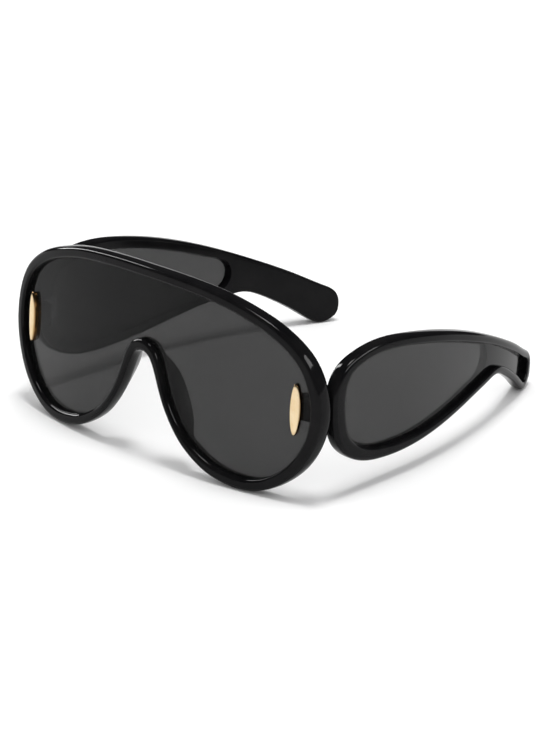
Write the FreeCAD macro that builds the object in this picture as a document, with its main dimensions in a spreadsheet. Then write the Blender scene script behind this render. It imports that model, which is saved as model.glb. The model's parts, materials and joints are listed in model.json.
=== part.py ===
import FreeCAD, Part
import math
import os
from types import SimpleNamespace
from FreeCAD import Vector, Rotation, Placement

# Shield sunglasses, in millimetres.
# They are drawn with the front upright: +X is the wearer's left, -Y the outside of the front, +Z up,
# with height zero at the lowest point of the two lens lobes. At the end the whole pair is leaned
# back on its temple tips, as it stands on a table, with the origin under the middle of its box.

doc = FreeCAD.newDocument("ShieldSunglasses")
sheet = doc.addObject("Spreadsheet::Sheet", "Sizes")

driving_sizes = {
    # Front rim, a curved band with rounded edges.
    "front_width": 150.0,
    "front_height": 68.7,
    "wrap_radius": 266.0,
    "rim_width": 4.2,
    "nose_rim_width": 3.0,
    "rim_depth": 5.6,
    "rim_round": 1.35,
    "rim_back_round": 0.7,
    # One-piece lens, held in a groove inside the rim.
    "lens_thickness": 1.4,
    "lens_recess": 2.3,
    "lens_bite": 1.2,
    "lens_play": 0.05,
    # Lugs behind the lens that carry the hinges.
    "hinge_level": 32.7,
    "lug_length": 12.4,
    "lug_height": 8.6,
    # Metal accent plates, pinned through the lens into the lugs.
    "accent_inset": 10.3,
    "accent_height": 18.2,
    "accent_width": 4.1,
    "accent_thickness": 1.8,
    "accent_round": 0.35,
    "accent_post_diameter": 1.2,
    "accent_post_pitch": 6.0,
    "accent_post_depth": 1.5,
    "accent_play": 0.06,
    # Nose pads, fins behind the sides of the nose arch.
    "pad_level": 22.0,
    "pad_height": 25.0,
    "pad_reach": 6.3,
    "pad_thickness": 2.4,
    "pad_round": 0.9,
    "pad_tilt": 28.0,
    "pad_splay": 40.0,
    "pad_play": 0.05,
    # Temples, wide blades that narrow to a rounded tip.
    "temple_gap": 0.6,
    "temple_proud": 0.5,
    "temple_length": 132.7,
    "temple_height": 43.5,
    "temple_thickness": 5.4,
    "tip_lift": 9.7,
    "temple_straight": 30.2,
    "temple_bend_radius": 219.0,
    "temple_bend_angle": 24.0,
    "temple_round": 1.7,
    "temple_inner_round": 1.2,
    "broad_rim": 6.2,
    "slim_rim": 3.0,
    "recess_depth": 2.2,
    "recess_round": 0.7,
    # Side lenses, set into the temple recess on a ledge.
    "side_lens_thickness": 1.6,
    "side_lens_margin": 0.3,
    "side_ledge": 0.6,
    # Hinges.
    "leaf_thickness": 1.1,
    "leaf_height": 7.8,
    "front_leaf_length": 3.8,
    "temple_leaf_length": 4.4,
    "knuckle_diameter": 3.0,
    "knuckle_count": 5,
    "knuckle_gap": 0.1,
    "hinge_clear": 0.2,
    "pin_diameter": 1.4,
    "pin_play": 0.04,
    "pin_head_diameter": 2.4,
    "pin_head_height": 0.6,
    "screw_diameter": 1.1,
    "screw_length": 3.0,
    "screw_head_diameter": 2.0,
    "screw_head_height": 0.5,
    "screw_pitch": 4.6,
    "screw_play": 0.03,
    # How far cutting shapes run past what they cut.
    "overrun": 5.0,
}

for row, (alias, value) in enumerate(driving_sizes.items(), start=1):
    sheet.set(f"A{row}", alias)
    sheet.set(f"B{row}", str(value))
    sheet.setAlias(f"B{row}", alias)
doc.recompute()
size = SimpleNamespace(**{alias: float(sheet.get(alias)) for alias in driving_sizes})

# Half of the front outline, from the top of the brow round the side and the lobe to the nose arch,
# as shares of half the front's width and of its height, each with the share of the way from the
# slim rim beside the nose to the full one.
front_outline_shares = [
    (0.0, 1.0, 1.0), (0.151, 0.998, 1.0), (0.291, 0.990, 1.0), (0.411, 0.977, 1.0), (0.52, 0.956, 1.0),
    (0.629, 0.924, 1.0), (0.735, 0.881, 1.0), (0.833, 0.820, 1.0), (0.911, 0.745, 1.0),
    (0.963, 0.654, 1.0), (0.991, 0.556, 1.0), (1.0, 0.456, 1.0), (0.985, 0.341, 1.0),
    (0.944, 0.231, 1.0), (0.884, 0.141, 1.0), (0.801, 0.066, 1.0), (0.707, 0.017, 1.0), (0.605, 0.0, 1.0),
    (0.509, 0.009, 0.95), (0.419, 0.035, 0.8), (0.333, 0.084, 0.5), (0.261, 0.144, 0.2),
    (0.195, 0.227, 0.0), (0.139, 0.325, 0.0), (0.101, 0.419, 0.1), (0.069, 0.499, 0.4),
    (0.036, 0.544, 0.8), (0.0, 0.555, 1.0),
]

# Side view of a temple, as shares of its length and height, each with the share of the way from
# the slim rim to the broad one. The blade runs forward along its top, round the front end and back
# along its lower edge. The tip goes on over the ear and back to the blade's top.
blade_shares = [
    (0.623, 0.763, 0.1), (0.521, 0.857, 0.2), (0.416, 0.931, 0.25), (0.326, 0.975, 0.25),
    (0.243, 1.0, 0.25), (0.159, 0.993, 0.25), (0.089, 0.943, 0.25), (0.039, 0.867, 0.45),
    (0.011, 0.756, 0.8), (0.0, 0.568, 1.0), (0.007, 0.395, 1.0), (0.028, 0.237, 0.9),
    (0.070, 0.120, 0.75), (0.129, 0.051, 0.6), (0.197, 0.032, 0.45), (0.281, 0.046, 0.3),
    (0.371, 0.090, 0.15), (0.462, 0.156, 0.05), (0.543, 0.223, 0.0), (0.609, 0.276, 0.0),
]
tip_shares = [
    (0.668, 0.315, 0.0), (0.717, 0.336, 0.0), (0.766, 0.297, 0.0), (0.818, 0.221, 0.0),
    (0.874, 0.124, 0.0), (0.914, 0.044, 0.0), (0.949, 0.0, 0.1), (0.977, 0.030, 0.3),
    (0.994, 0.083, 0.4), (1.0, 0.147, 0.4), (0.993, 0.232, 0.35), (0.966, 0.317, 0.2),
    (0.911, 0.409, 0.1), (0.832, 0.522, 0.0), (0.745, 0.628, 0.0), (0.681, 0.701, 0.0),
]

# Rounded rear end of a side lens, in the same shares, from its lower to its upper shoulder.
side_lens_end_shares = [(0.653, 0.395), (0.674, 0.522), (0.653, 0.648)]

# Outline of a nose pad, as shares of its reach behind the rim and of half its height. What lies ahead
# of its root is trimmed to the back of the rim.
pad_outline_shares = [
    (1.0, 0.06), (0.96, 0.46), (0.69, 0.82), (0.2, 1.0), (-0.3, 0.85), (-0.5, 0.0), (-0.3, -0.85),
    (0.1, -1.0), (0.47, -0.88), (0.79, -0.43),
]

tip_rest_share = 0.949
lobe_rest_share = 0.605
rounding_share = 0.45
outer_rounding_share = 0.57
recess_rounding_share = 0.25
end_rounding_share = 0.85
snap_share = 0.1

half_width = size.front_width / 2
across = Vector(1, 0, 0)
backward = Vector(0, 1, 0)
upward = Vector(0, 0, 1)


def smooth_loop(points):
    curve = Part.BSplineCurve()
    curve.interpolate(Points=points, PeriodicFlag=True)
    return curve


def loop_edge(points):
    return smooth_loop(points).toShape()


def inset(points, widths, axis):
    """Points of a loop moved into it, each by its own width, in the plane square to the axis."""
    curve = smooth_loop(points)
    moved = []
    for point, width in zip(points, widths):
        inward = axis.cross(curve.tangent(curve.parameter(point))[0])
        moved.append(point + inward.normalize() * width)
    return moved


def prism(points, start, run):
    """A solid whose section is a smooth loop, from an offset of the loop along the given run."""
    face = Part.Face(Part.Wire(loop_edge(points)))
    face.translate(start)
    return face.extrude(run)


def even(width, points):
    return [width] * len(points)


def face_depth(radius, place):
    """How far back a face of this radius, round the wrap's own centre line, lies at a place across."""
    return size.wrap_radius - math.sqrt(radius ** 2 - place ** 2)


def wrap_shell(front, back):
    """The curved layer between two depths behind the front of the rim."""
    height = size.front_height + 2 * size.overrun
    base = Vector(0, size.wrap_radius, -size.overrun)
    outside = Part.makeCylinder(size.wrap_radius - front, height, base)
    return outside.cut(Part.makeCylinder(size.wrap_radius - back, height, base))


def edges_where(shape, test):
    """Edges whose start, middle and end all pass a test."""
    chosen = []
    for edge in shape.Edges:
        first, last = edge.ParameterRange
        spots = [edge.valueAt(first + (last - first) * step / 2) for step in range(3)]
        if all(test(spot) for spot in spots):
            chosen.append(edge)
    return chosen


def near(value, target):
    return abs(value - target) < size.lens_play * snap_share


# Front rim, lens and lugs
right_half = [Vector(half_width * x, 0, size.front_height * z) for x, z, _ in front_outline_shares]
left_half = [Vector(-point.x, 0, point.z) for point in reversed(right_half[1:-1])]
front_loop = right_half + left_half
right_widths = [size.nose_rim_width + (size.rim_width - size.nose_rim_width) * share
                for _, _, share in front_outline_shares]
front_widths = right_widths + right_widths[-2:0:-1]
front_run = backward * (size.wrap_radius / 2)
front_start = backward * (-2 * size.overrun)


def front_layer(loop, front, back):
    """Everything inside a loop of the front view, between two depths."""
    return prism(loop, front_start, front_run).common(wrap_shell(front, back))


def rim_inside(bite):
    """The inner outline of the rim, or one that lies a bite behind it in the rim."""
    return inset(front_loop, [width - bite for width in front_widths], backward)


def wrap_depth(point):
    return size.wrap_radius - math.hypot(point.x, point.y - size.wrap_radius)


def nose_side(level):
    """The point of the nose arch's wearer's-left side at a level."""
    cut_line = Part.makeLine(Vector(0, 0, level), Vector(half_width * lobe_rest_share, 0, level))
    return cut_line.distToShape(loop_edge(front_loop))[1][0][0]


lens_back = size.lens_recess + size.lens_thickness
rim_back_side = face_depth(size.wrap_radius - size.rim_depth, half_width)
lug_back = rim_back_side
accent_x = half_width - size.accent_inset
accent_turn = math.degrees(math.asin(accent_x / size.wrap_radius))
accent_seat = Vector(accent_x, face_depth(size.wrap_radius - size.lens_recess, accent_x), size.hinge_level)
accent_place = Placement(accent_seat, Rotation(upward, accent_turn))
post_reach = size.lens_thickness + size.lens_play + size.accent_post_depth
post_heights = [size.accent_post_pitch / 2, -size.accent_post_pitch / 2]

knuckle_radius = size.knuckle_diameter / 2
hinge_offset = knuckle_radius + size.hinge_clear
temple_face = half_width + size.temple_proud
pivot = Vector(temple_face - size.temple_thickness - hinge_offset, lug_back + hinge_offset, size.hinge_level)
screw_heights = [size.screw_pitch / 2, -size.screw_pitch / 2]
front_screw_x = pivot.x - hinge_offset - size.front_leaf_length / 2
temple_screw_y = pivot.y + hinge_offset + size.temple_leaf_length / 2
screw_depth = size.screw_length - size.leaf_thickness + size.screw_play


def mirrored(shape):
    return shape.mirror(Vector(0, 0, 0), across)


def post_holes():
    """Holes for one accent plate's posts, through the lens and into the lug."""
    radius = size.accent_post_diameter / 2 + size.accent_play
    holes = []
    for height in post_heights:
        hole = Part.makeCylinder(radius, size.overrun + post_reach + size.accent_play,
                                 Vector(0, -size.overrun, height), backward)
        hole.Placement = accent_place.multiply(hole.Placement)
        holes.append(hole)
    return holes


def lug():
    """A block behind the lens, from the rim inwards, flat at the back for the hinge leaf."""
    inner = half_width - size.lug_length
    low = size.hinge_level - size.lug_height / 2
    block = Part.makeBox(size.lug_length - size.rim_width / 2, lug_back, size.lug_height,
                         Vector(inner, 0, low))
    behind = Part.makeCylinder(size.wrap_radius - lens_back - size.lens_play,
                               size.front_height, Vector(0, size.wrap_radius, 0))
    block = block.common(behind)
    for height in screw_heights:
        spot = Vector(front_screw_x, lug_back, size.hinge_level + height)
        hole = Part.makeCylinder(size.screw_diameter / 2 + size.screw_play, screw_depth, spot, -backward)
        block = block.cut(hole)
    return block.cut(post_holes())


def front_frame():
    rim = front_layer(front_loop, 0, size.rim_depth)
    groove = front_layer(rim_inside(size.lens_bite + size.lens_play), size.lens_recess - size.lens_play,
                         lens_back + size.lens_play)
    opening = front_layer(rim_inside(0), -size.overrun, size.rim_depth + size.overrun)
    rim = rim.cut([opening, groove])
    front_edges = edges_where(rim, lambda point: near(wrap_depth(point), 0))
    rim = rim.makeFillet(min(size.rim_round, size.nose_rim_width * rounding_share), front_edges)
    back_edges = edges_where(rim, lambda point: near(wrap_depth(point), size.rim_depth))
    rim = rim.makeFillet(min(size.rim_back_round, size.nose_rim_width * rounding_share), back_edges)
    left_lug = lug()
    return rim.fuse([left_lug, mirrored(left_lug)]).removeSplitter()


def shield_lens():
    lens = front_layer(rim_inside(size.lens_bite), size.lens_recess, lens_back)
    holes = post_holes()
    return lens.cut(holes + [mirrored(hole) for hole in holes])


# Temple, drawn on the wearer's left
temple_front = rim_back_side + size.temple_gap
bend_start = temple_front + size.temple_straight
bend_centre = Vector(temple_face - size.temple_bend_radius, bend_start, 0)
bend_angle = math.radians(size.temple_bend_angle)
rear_heading = Vector(-math.sin(bend_angle), math.cos(bend_angle), 0)


def temple_point(along, height):
    return Vector(0, temple_front + size.temple_length * along,
                  size.tip_lift + size.temple_height * height)


def bend_point(depth, angle):
    radius = size.temple_bend_radius - depth
    return bend_centre + Vector(radius * math.cos(angle), radius * math.sin(angle), 0)


def temple_side(depth):
    """Plan of the temple's face at a depth behind its outside: straight, bent in, straight."""
    front = Vector(temple_face - depth, temple_front - size.overrun, 0)
    start = bend_point(depth, 0)
    end = bend_point(depth, bend_angle)
    bend = Part.Arc(start, bend_point(depth, bend_angle / 2), end).toShape()
    rear = end + rear_heading * size.temple_length
    return [Part.makeLine(front, start), bend, Part.makeLine(end, rear)]


def temple_layer(outer, inner):
    """The bent sheet between two depths behind the temple's outside."""
    outside = temple_side(outer)
    inside = temple_side(inner)
    front_cap = Part.makeLine(inside[0].Vertexes[0].Point, outside[0].Vertexes[0].Point)
    rear_cap = Part.makeLine(outside[2].Vertexes[1].Point, inside[2].Vertexes[1].Point)
    wire = Part.Wire(Part.__sortEdges__(outside + inside + [front_cap, rear_cap]))
    sheet_face = Part.Face(wire)
    sheet_face.translate(upward * (size.tip_lift - size.overrun))
    return sheet_face.extrude(upward * (size.temple_height + 2 * size.overrun))


def temple_depth(point):
    """How far a point lies behind the temple's outer face."""
    if point.y <= bend_start:
        return temple_face - point.x
    flat = Vector(point.x, point.y, 0) - bend_centre
    if math.atan2(flat.y, flat.x) <= bend_angle:
        return size.temple_bend_radius - flat.Length
    outward = Vector(math.cos(bend_angle), math.sin(bend_angle), 0)
    return size.temple_bend_radius - flat.dot(outward)


blade = [temple_point(along, height) for along, height, _ in blade_shares]
temple_loop = blade + [temple_point(along, height) for along, height, _ in tip_shares]
rim_widths = [size.slim_rim + (size.broad_rim - size.slim_rim) * share
              for _, _, share in blade_shares + tip_shares]
recess_loop = inset(temple_loop, rim_widths, across)
lens_end = [temple_point(along, height) for along, height in side_lens_end_shares]
side_lens_loop = recess_loop[:len(blade)] + lens_end
side_floor = size.recess_depth + size.side_lens_thickness


def temple_body(loop, outer, inner):
    return prism(loop, Vector(0, 0, 0), across * size.front_width).common(temple_layer(outer, inner))


def side_lens_body(margin, outer, inner):
    loop = inset(side_lens_loop, even(margin, side_lens_loop), across)
    return temple_body(loop, outer, inner)


def lies_on(loop, depth):
    """A test for points of a temple's edges: on the given loop in side view, at the given depth."""
    edge = loop_edge(loop)

    def test(point):
        side_view = Part.Vertex(Vector(0, point.y, point.z))
        return near(temple_depth(point), depth) and near(side_view.distToShape(edge)[0], 0)

    return test


def temple_frame():
    body = temple_body(temple_loop, 0, size.temple_thickness)
    seat_top = size.recess_depth - size.lens_play
    body = body.cut([temple_body(recess_loop, -size.overrun, size.recess_depth),
                     side_lens_body(size.side_lens_margin - size.lens_play, seat_top, side_floor + size.lens_play),
                     side_lens_body(size.side_lens_margin + size.side_ledge, seat_top,
                                    size.temple_thickness + size.overrun)])
    outer_round = min(size.temple_round, size.slim_rim * outer_rounding_share)
    inner_round = min(size.temple_inner_round, size.temple_thickness * recess_rounding_share)
    recess_round = min(size.recess_round, size.slim_rim * recess_rounding_share)
    for loop, depth, rounding in ((temple_loop, 0, outer_round),
                                  (temple_loop, size.temple_thickness, inner_round),
                                  (recess_loop, 0, recess_round)):
        body = body.makeFillet(rounding, edges_where(body, lies_on(loop, depth)))
    inner_face = temple_face - size.temple_thickness
    for height in screw_heights:
        spot = Vector(inner_face, temple_screw_y, size.hinge_level + height)
        hole = Part.makeCylinder(size.screw_diameter / 2 + size.screw_play, screw_depth, spot, across)
        body = body.cut(hole)
    return body


def side_lens():
    return side_lens_body(size.side_lens_margin, size.recess_depth, side_floor)


def nose_pad():
    """A rounded fin that starts behind the rim at the side of the nose and splays outwards."""
    outline = [Vector(0, size.pad_reach * reach, size.pad_height / 2 * height)
               for reach, height in pad_outline_shares]
    fin = prism(outline, across * (-size.pad_thickness / 2), across * size.pad_thickness)
    rims = edges_where(fin, lambda point: near(abs(point.x), size.pad_thickness / 2))
    fin = fin.makeFillet(min(size.pad_round, size.pad_thickness * rounding_share), rims)
    side = Vector(math.cos(math.radians(size.pad_tilt)), 0, math.sin(math.radians(size.pad_tilt)))
    middle = nose_side(size.pad_level) + side * (size.nose_rim_width / 2)
    middle.y = face_depth(size.wrap_radius - size.rim_depth, middle.x)
    turn = Rotation(backward, -size.pad_tilt).multiply(Rotation(upward, -size.pad_splay))
    fin.Placement = Placement(middle, turn)
    behind = Part.makeCylinder(size.wrap_radius - size.rim_depth - size.pad_play, size.front_height,
                               Vector(0, size.wrap_radius, 0))
    return fin.common(behind)


# Sub-parts with a shape of their own
def feature(label, shape):
    piece = doc.addObject("Part::Feature", label)
    piece.Shape = shape
    return piece


# Building blocks of the small metal pieces, each bound to the sheet
def box(name, corner, lengths):
    piece = doc.addObject("Part::Box", name)
    for key, text in zip(("Placement.Base.x", "Placement.Base.y", "Placement.Base.z"), corner):
        piece.setExpression(key, text)
    for key, text in zip(("Length", "Width", "Height"), lengths):
        piece.setExpression(key, text)
    return piece


def cylinder(name, centre, radius, length, direction=upward):
    piece = doc.addObject("Part::Cylinder", name)
    piece.Placement = Placement(Vector(0, 0, 0), Rotation(upward, direction))
    for key, text in zip(("Placement.Base.x", "Placement.Base.y", "Placement.Base.z"), centre):
        piece.setExpression(key, text)
    piece.setExpression("Radius", radius)
    piece.setExpression("Height", length)
    return piece


def fused(name, pieces):
    piece = doc.addObject("Part::MultiFuse", name)
    piece.Shapes = pieces
    return piece


def cut(name, base, tool):
    piece = doc.addObject("Part::Cut", name)
    piece.Base = base
    piece.Tool = tool
    return piece


def accent_plate():
    """An upright oval plate with two posts behind it."""
    outline = doc.addObject("Part::Ellipse", "accent_outline")
    outline.setExpression("MajorRadius", "Sizes.accent_height / 2")
    outline.setExpression("MinorRadius", "Sizes.accent_width / 2")
    outline.Placement = Placement(Vector(0, 0, 0), Rotation(upward, across, backward, "XYZ"))
    oval = doc.addObject("Part::Extrusion", "accent_oval")
    oval.Base = outline
    oval.DirMode = "Custom"
    oval.Dir = -backward
    oval.setExpression("LengthFwd", "Sizes.accent_thickness")
    oval.Solid = True
    doc.recompute()
    rounded = doc.addObject("Part::Fillet", "accent_rounded")
    rounded.Base = oval
    outer = [number for number, edge in enumerate(oval.Shape.Edges, start=1)
             if all(near(vertex.Y, -size.accent_thickness) for vertex in edge.Vertexes)]
    end_radius = size.accent_width ** 2 / (2 * size.accent_height)
    rounding = min(size.accent_round, size.accent_thickness * rounding_share, end_radius * end_rounding_share)
    rounded.Edges = [(number, rounding, rounding) for number in outer]
    posts = []
    for number, sign in enumerate(("", "-")):
        centre = ("0", "-Sizes.accent_thickness / 2", f"{sign}Sizes.accent_post_pitch / 2")
        length = "Sizes.accent_thickness / 2 + Sizes.lens_thickness + Sizes.lens_play + Sizes.accent_post_depth"
        posts.append(cylinder(f"accent_post_{number}", centre, "Sizes.accent_post_diameter / 2", length, backward))
    return fused("left_accent_plate", [rounded] + posts)


hinge_step = "(Sizes.knuckle_diameter / 2 + Sizes.hinge_clear)"
knuckle_height = ("((Sizes.leaf_height - (Sizes.knuckle_count - 1) * Sizes.knuckle_gap)"
                  " / Sizes.knuckle_count)")
stack_base = "-Sizes.leaf_height / 2"


def knuckle_base(number):
    return f"{stack_base} + {number} * ({knuckle_height} + Sizes.knuckle_gap)"


def pin_bore(name):
    return cylinder(name, ("0", "0", f"{stack_base} - Sizes.overrun"),
                    "Sizes.pin_diameter / 2 + Sizes.pin_play", "Sizes.leaf_height + 2 * Sizes.overrun")


def screw_seats(name, place, inward):
    """Stepped holes for a leaf's two countersunk screws, at a place on the face the heads lie in."""
    seats = []
    for number, sign in enumerate(("", "-")):
        centre = (*place, f"{sign}Sizes.screw_pitch / 2")
        seats.append(cylinder(f"{name}_shank_{number}", centre, "Sizes.screw_diameter / 2 + Sizes.screw_play",
                              "Sizes.leaf_thickness + Sizes.overrun", inward))
        seats.append(cylinder(f"{name}_head_{number}", centre,
                              "Sizes.screw_head_diameter / 2 + Sizes.screw_play",
                              "Sizes.screw_head_height", inward))
    return fused(f"{name}_seats", seats)


front_screw_place = (f"-{hinge_step} - Sizes.front_leaf_length / 2", f"-{hinge_step} + Sizes.leaf_thickness")
temple_screw_place = (f"{hinge_step} - Sizes.leaf_thickness", f"{hinge_step} + Sizes.temple_leaf_length / 2")


def hinge_leaf(label, plate, tab, first, screw_place, inward):
    """A plate with every second knuckle of the barrel, from the first one it owns."""
    pieces = [plate]
    for number in range(first, int(size.knuckle_count), 2):
        base = knuckle_base(number)
        pieces.append(cylinder(f"{label}_knuckle_{number}", ("0", "0", base), "Sizes.knuckle_diameter / 2",
                               knuckle_height))
        corner, lengths = tab
        pieces.append(box(f"{label}_tab_{number}", (*corner, base), (*lengths, knuckle_height)))
    solid = fused(f"{label}_solid", pieces)
    holes = fused(f"{label}_holes", [pin_bore(f"{label}_bore"), screw_seats(label, screw_place, inward)])
    return cut(label, solid, holes)


def front_leaf():
    label = "left_hinge_front_leaf"
    plate = box(f"{label}_plate", (f"-{hinge_step} - Sizes.front_leaf_length", f"-{hinge_step}", stack_base),
                ("Sizes.front_leaf_length", "Sizes.leaf_thickness", "Sizes.leaf_height"))
    tab = ((f"-{hinge_step}", f"-{hinge_step}"), (hinge_step, "Sizes.leaf_thickness"))
    return hinge_leaf(label, plate, tab, 0, front_screw_place, -backward)


def temple_leaf():
    label = "left_hinge_temple_leaf"
    plate = box(f"{label}_plate", (f"{hinge_step} - Sizes.leaf_thickness", hinge_step, stack_base),
                ("Sizes.leaf_thickness", "Sizes.temple_leaf_length", "Sizes.leaf_height"))
    tab = ((f"{hinge_step} - Sizes.leaf_thickness", "0"), ("Sizes.leaf_thickness", hinge_step))
    return hinge_leaf(label, plate, tab, 1, temple_screw_place, across)


def hinge_screw():
    shank = cylinder("hinge_screw_shank", ("0", "0", stack_base), "Sizes.pin_diameter / 2",
                     "Sizes.leaf_height + Sizes.pin_head_height")
    head = cylinder("hinge_screw_head", ("0", "0", "Sizes.leaf_height / 2"), "Sizes.pin_head_diameter / 2",
                    "Sizes.pin_head_height")
    return fused("left_hinge_screw", [shank, head])


def leaf_screws(label, place, inward):
    """The two screws of one leaf, heads flush with it."""
    screws = []
    for number, sign in enumerate(("", "-")):
        centre = (*place, f"{sign}Sizes.screw_pitch / 2")
        shank = cylinder(f"{label}_shank_{number}", centre, "Sizes.screw_diameter / 2", "Sizes.screw_length",
                         inward)
        head = cylinder(f"{label}_head_{number}", centre, "Sizes.screw_head_diameter / 2",
                        "Sizes.screw_head_height", inward)
        screws.append(fused(f"{label}_{number}", [shank, head]))
    group = doc.addObject("Part::Compound", label)
    group.Links = screws
    return group


frame_pieces = [feature("front_frame", front_frame()), feature("shield_lens", shield_lens())]
left_shells = [feature("left_nose_pad", nose_pad()), feature("left_temple_frame", temple_frame()),
               feature("left_side_lens", side_lens())]
left_accents = [accent_plate()]
left_hinge = [front_leaf(), temple_leaf(), hinge_screw(),
              leaf_screws("left_front_leaf_screws", front_screw_place, -backward),
              leaf_screws("left_temple_leaf_screws", temple_screw_place, across)]
doc.recompute()

# The pair stands on its lobes and temple tips, so it leans back by the slope between them.
lobe_back = face_depth(size.wrap_radius - size.rim_depth, half_width * lobe_rest_share) - size.rim_back_round
tip_rest = temple_front + size.temple_length * tip_rest_share
lean_turn = Rotation(across, -math.degrees(math.atan2(size.tip_lift, tip_rest - lobe_back)))
leaned = Part.Compound([piece.Shape for piece in (frame_pieces[0], left_shells[1])])
leaned.Placement = Placement(Vector(0, 0, 0), lean_turn)
reach = leaned.optimalBoundingBox()
lean = Placement(Vector(0, -(reach.YMin + reach.YMax) / 2, -reach.ZMin), lean_turn)

for piece in frame_pieces + left_shells:
    piece.Placement = lean
for piece in left_accents:
    piece.Placement = lean.multiply(accent_place)
for piece in left_hinge:
    piece.Placement = lean.multiply(Placement(pivot, Rotation()))

right_pieces = []
for piece in left_shells + left_accents + left_hinge:
    twin = doc.addObject("Part::Mirroring", piece.Name.replace("left_", "right_"))
    twin.Source = piece
    twin.Normal = across
    right_pieces.append(twin)
doc.recompute()

subparts = frame_pieces + left_shells + left_accents + left_hinge + right_pieces
for piece in subparts:
    piece.Label = piece.Name
for item in doc.Objects:
    if "Invalid" in item.State or "Error" in item.State:
        raise RuntimeError(f"{item.Name} failed: {item.State}")
for piece in subparts:
    if piece.Shape.isNull() or not piece.Shape.isValid():
        raise RuntimeError(f"{piece.Label} has no valid shape")

os.makedirs("parts", exist_ok=True)
for piece in subparts:
    piece.Shape.exportStep(f"parts/{piece.Label}.step")
print(f"{len(subparts)} sub-parts; hinge at {lean.multVec(pivot)}; lean {lean_turn.Angle}")
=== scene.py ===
import json
import math
import bmesh
import bpy
import numpy as np
from mathutils import Matrix, Vector


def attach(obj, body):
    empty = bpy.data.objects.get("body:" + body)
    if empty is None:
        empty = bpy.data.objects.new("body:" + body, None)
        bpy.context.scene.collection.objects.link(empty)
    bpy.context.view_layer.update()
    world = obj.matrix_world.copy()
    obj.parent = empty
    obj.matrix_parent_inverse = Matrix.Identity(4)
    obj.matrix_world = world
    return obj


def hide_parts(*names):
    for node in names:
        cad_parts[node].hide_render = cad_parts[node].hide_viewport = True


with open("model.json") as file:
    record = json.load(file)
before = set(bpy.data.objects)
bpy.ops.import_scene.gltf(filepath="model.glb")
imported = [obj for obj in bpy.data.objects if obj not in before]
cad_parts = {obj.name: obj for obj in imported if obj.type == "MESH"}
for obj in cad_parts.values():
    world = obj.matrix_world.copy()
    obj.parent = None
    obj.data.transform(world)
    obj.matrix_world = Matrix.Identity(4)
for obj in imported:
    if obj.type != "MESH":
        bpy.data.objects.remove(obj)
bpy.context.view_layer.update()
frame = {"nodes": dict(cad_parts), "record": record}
nodes = frame["nodes"]
scene = bpy.context.scene
scene.view_settings.view_transform = "Standard"
print("frame loaded:", len(nodes), "nodes")

# Shapes are drawn in millimetres with the front upright, then leaned back on the temple tips.
stand = {"lean": 0.07211026, "shift": -76.156, "lift": 0.655, "millimetre": 0.001}
leanBack = (Matrix.Scale(stand["millimetre"], 4)
            @ Matrix.Translation((0, stand["shift"], stand["lift"]))
            @ Matrix.Rotation(-stand["lean"], 4, "X"))
mirrorAcross = Matrix.Scale(-1, 4, (1, 0, 0))
bothSides = (("left", leanBack), ("right", mirrorAcross @ leanBack))

# What the meshes share
meshing = {"seam": 0.002, "weld": 0.004,  # millimetres
           "sharpAngle": 32,  # degrees
           "edgeSteps": 13, "wallSteps": 13, "backSteps": 11,  # points on a rim's outer wall
           "endTurn": 0.02,  # radians from a lens's end, on the half turn that spaces its columns
           "nudge": 0.001}  # share of a point's spacing, to each side, that gives a direction


def linkObject(obj):
    scene.collection.objects.link(obj)
    return obj


def newMesh(name, verts, edges=(), faces=()):
    mesh = bpy.data.meshes.new(name)
    mesh.from_pydata(verts, edges, faces)
    return mesh


def meshFrom(name, bm):
    mesh = bpy.data.meshes.new(name)
    bm.to_mesh(mesh)
    bm.free()
    return mesh


def shapedMesh(obj):
    # the object's mesh as its modifiers leave it
    bpy.context.view_layer.update()
    depsgraph = bpy.context.evaluated_depsgraph_get()
    return bpy.data.meshes.new_from_object(obj.evaluated_get(depsgraph), depsgraph=depsgraph)


def addAttribute(mesh, label, sort, values):
    field = {"FLOAT": "value", "FLOAT_VECTOR": "vector"}[sort]
    attribute = mesh.attributes.new(label, sort, "POINT")
    attribute.data.foreach_set(field, np.array(values, float).ravel())


def put(tree, kind, inputs=(), **settings):
    node = tree.nodes.new(kind)
    for name, value in settings.items():
        setattr(node, name, value)
    for key, value in dict(inputs).items():
        if isinstance(value, bpy.types.NodeSocket):
            tree.links.new(value, node.inputs[key])
        else:
            node.inputs[key].default_value = value
    return node


def calc(tree, operation, *values):
    return put(tree, "ShaderNodeMath", dict(enumerate(values)), operation=operation).outputs[0]


def pickTone(tree, factor, *tones):
    # inputs 6 and 7 and output 2 of a mix node are its colours; a tone is a socket or plain numbers
    first, second = [tone if isinstance(tone, bpy.types.NodeSocket) else (*tone, 1)
                     for tone in tones]
    mix = put(tree, "ShaderNodeMix", {"Factor": factor, 6: first, 7: second}, data_type="RGBA")
    return mix.outputs[2]


def newTree(name, kind, sockets, results):
    tree = bpy.data.node_groups.new(name, kind)
    for label, sort in sockets:
        tree.interface.new_socket(name=label, in_out="INPUT", socket_type="NodeSocket" + sort)
    for label, sort in results:
        tree.interface.new_socket(name=label, in_out="OUTPUT", socket_type="NodeSocket" + sort)
    return tree, tree.nodes.new("NodeGroupInput").outputs, tree.nodes.new("NodeGroupOutput").inputs


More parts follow.
